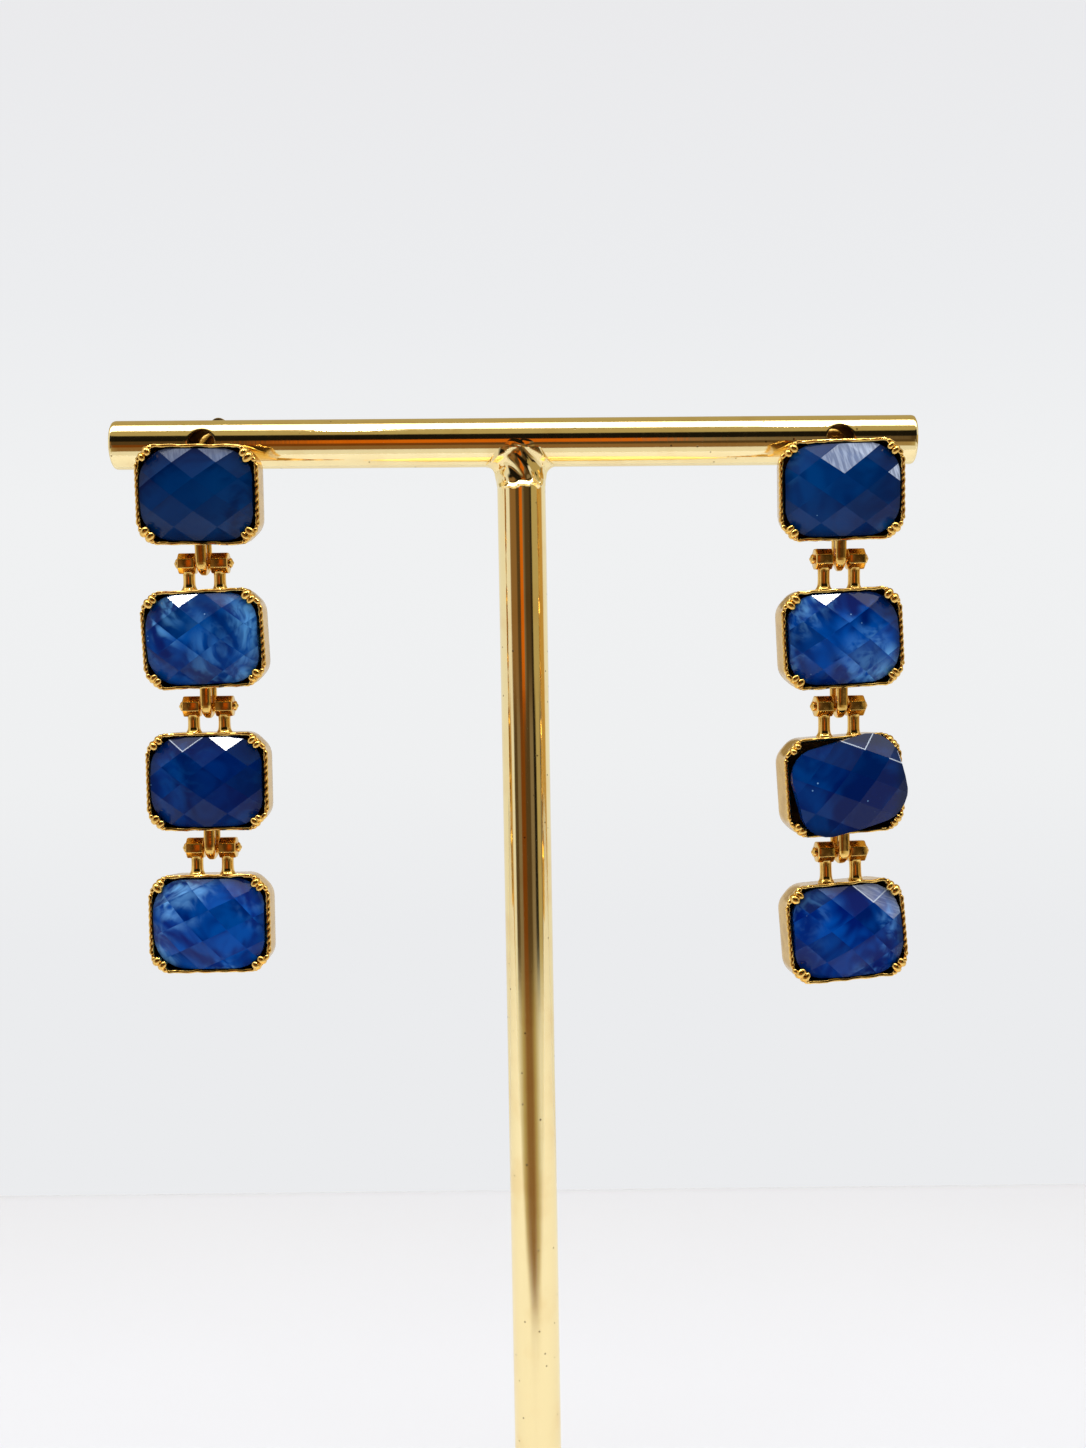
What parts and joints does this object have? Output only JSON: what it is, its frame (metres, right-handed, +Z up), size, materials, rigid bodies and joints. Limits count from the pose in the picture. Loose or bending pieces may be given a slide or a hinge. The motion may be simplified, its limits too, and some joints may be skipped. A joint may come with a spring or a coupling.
{
  "type": "pair of drop earrings on a t-bar stand",
  "caption": "Pair of long earrings of hinged faceted blue stones in gold-coloured claw settings, hung by their posts from a round-footed T-bar display stand.",
  "frame": {"origin": "the middle of the stand's underside", "axes": "+Z up, +X along the crossbar, the fronts of the earrings towards -Y"},
  "size_m": [0.099, 0.08, 0.1692],
  "materials": {
    "stand_gold": "polished, pale gold plated",
    "earring_gold": "polished, warm yellow gold plated",
    "blue_stone": "polished, faceted"
  },
  "bodies": {
    "root": {"stand_base": "stand_gold", "stand_frame": "stand_gold", "left_ear_nut": "earring_gold", "left_setting_1": "earring_gold", "left_stone_1": "blue_stone", "right_ear_nut": "earring_gold", "right_setting_1": "earring_gold", "right_stone_1": "blue_stone"},
    "left_drop_2": {"left_setting_2": "earring_gold", "left_stone_2": "blue_stone", "left_hinge_pin_1": "earring_gold"},
    "left_drop_3": {"left_setting_3": "earring_gold", "left_stone_3": "blue_stone", "left_hinge_pin_2": "earring_gold"},
    "left_drop_4": {"left_setting_4": "earring_gold", "left_stone_4": "blue_stone", "left_hinge_pin_3": "earring_gold"},
    "right_drop_2": {"right_setting_2": "earring_gold", "right_stone_2": "blue_stone", "right_hinge_pin_1": "earring_gold"},
    "right_drop_3": {"right_setting_3": "earring_gold", "right_stone_3": "blue_stone", "right_hinge_pin_2": "earring_gold"},
    "right_drop_4": {"right_setting_4": "earring_gold", "right_stone_4": "blue_stone", "right_hinge_pin_3": "earring_gold"}
  },
  "joints": [
    {"name": "left_hinge_1", "type": "hinge", "parent": "root", "child": "left_drop_2", "pos_m": [-0.03863, -0.005, 0.15063], "axis": [1, -0.0087, -0.0006], "range_deg": [-75, 75]},
    {"name": "left_hinge_2", "type": "hinge", "parent": "left_drop_2", "child": "left_drop_3", "pos_m": [-0.03864, -0.005, 0.13323], "axis": [1, -0.0017, -0.0009], "range_deg": [-75, 75]},
    {"name": "left_hinge_3", "type": "hinge", "parent": "left_drop_3", "child": "left_drop_4", "pos_m": [-0.03865, -0.0056, 0.11584], "axis": [0.9999, -0.0122, 0.0001], "range_deg": [-75, 75]},
    {"name": "right_hinge_1", "type": "hinge", "parent": "root", "child": "right_drop_2", "pos_m": [0.03839, -0.005, 0.14985], "axis": [0.9941, 0.1081, -0.0022], "range_deg": [-75, 75]},
    {"name": "right_hinge_2", "type": "hinge", "parent": "right_drop_2", "child": "right_drop_3", "pos_m": [0.03835, -0.00499, 0.13206], "axis": [0.9842, 0.1771, -0.0046], "range_deg": [-75, 75]},
    {"name": "right_hinge_3", "type": "hinge", "parent": "right_drop_3", "child": "right_drop_4", "pos_m": [0.03838, -0.00561, 0.11427], "axis": [0.9885, 0.1514, -0.0023], "range_deg": [-75, 75]}
  ]
}
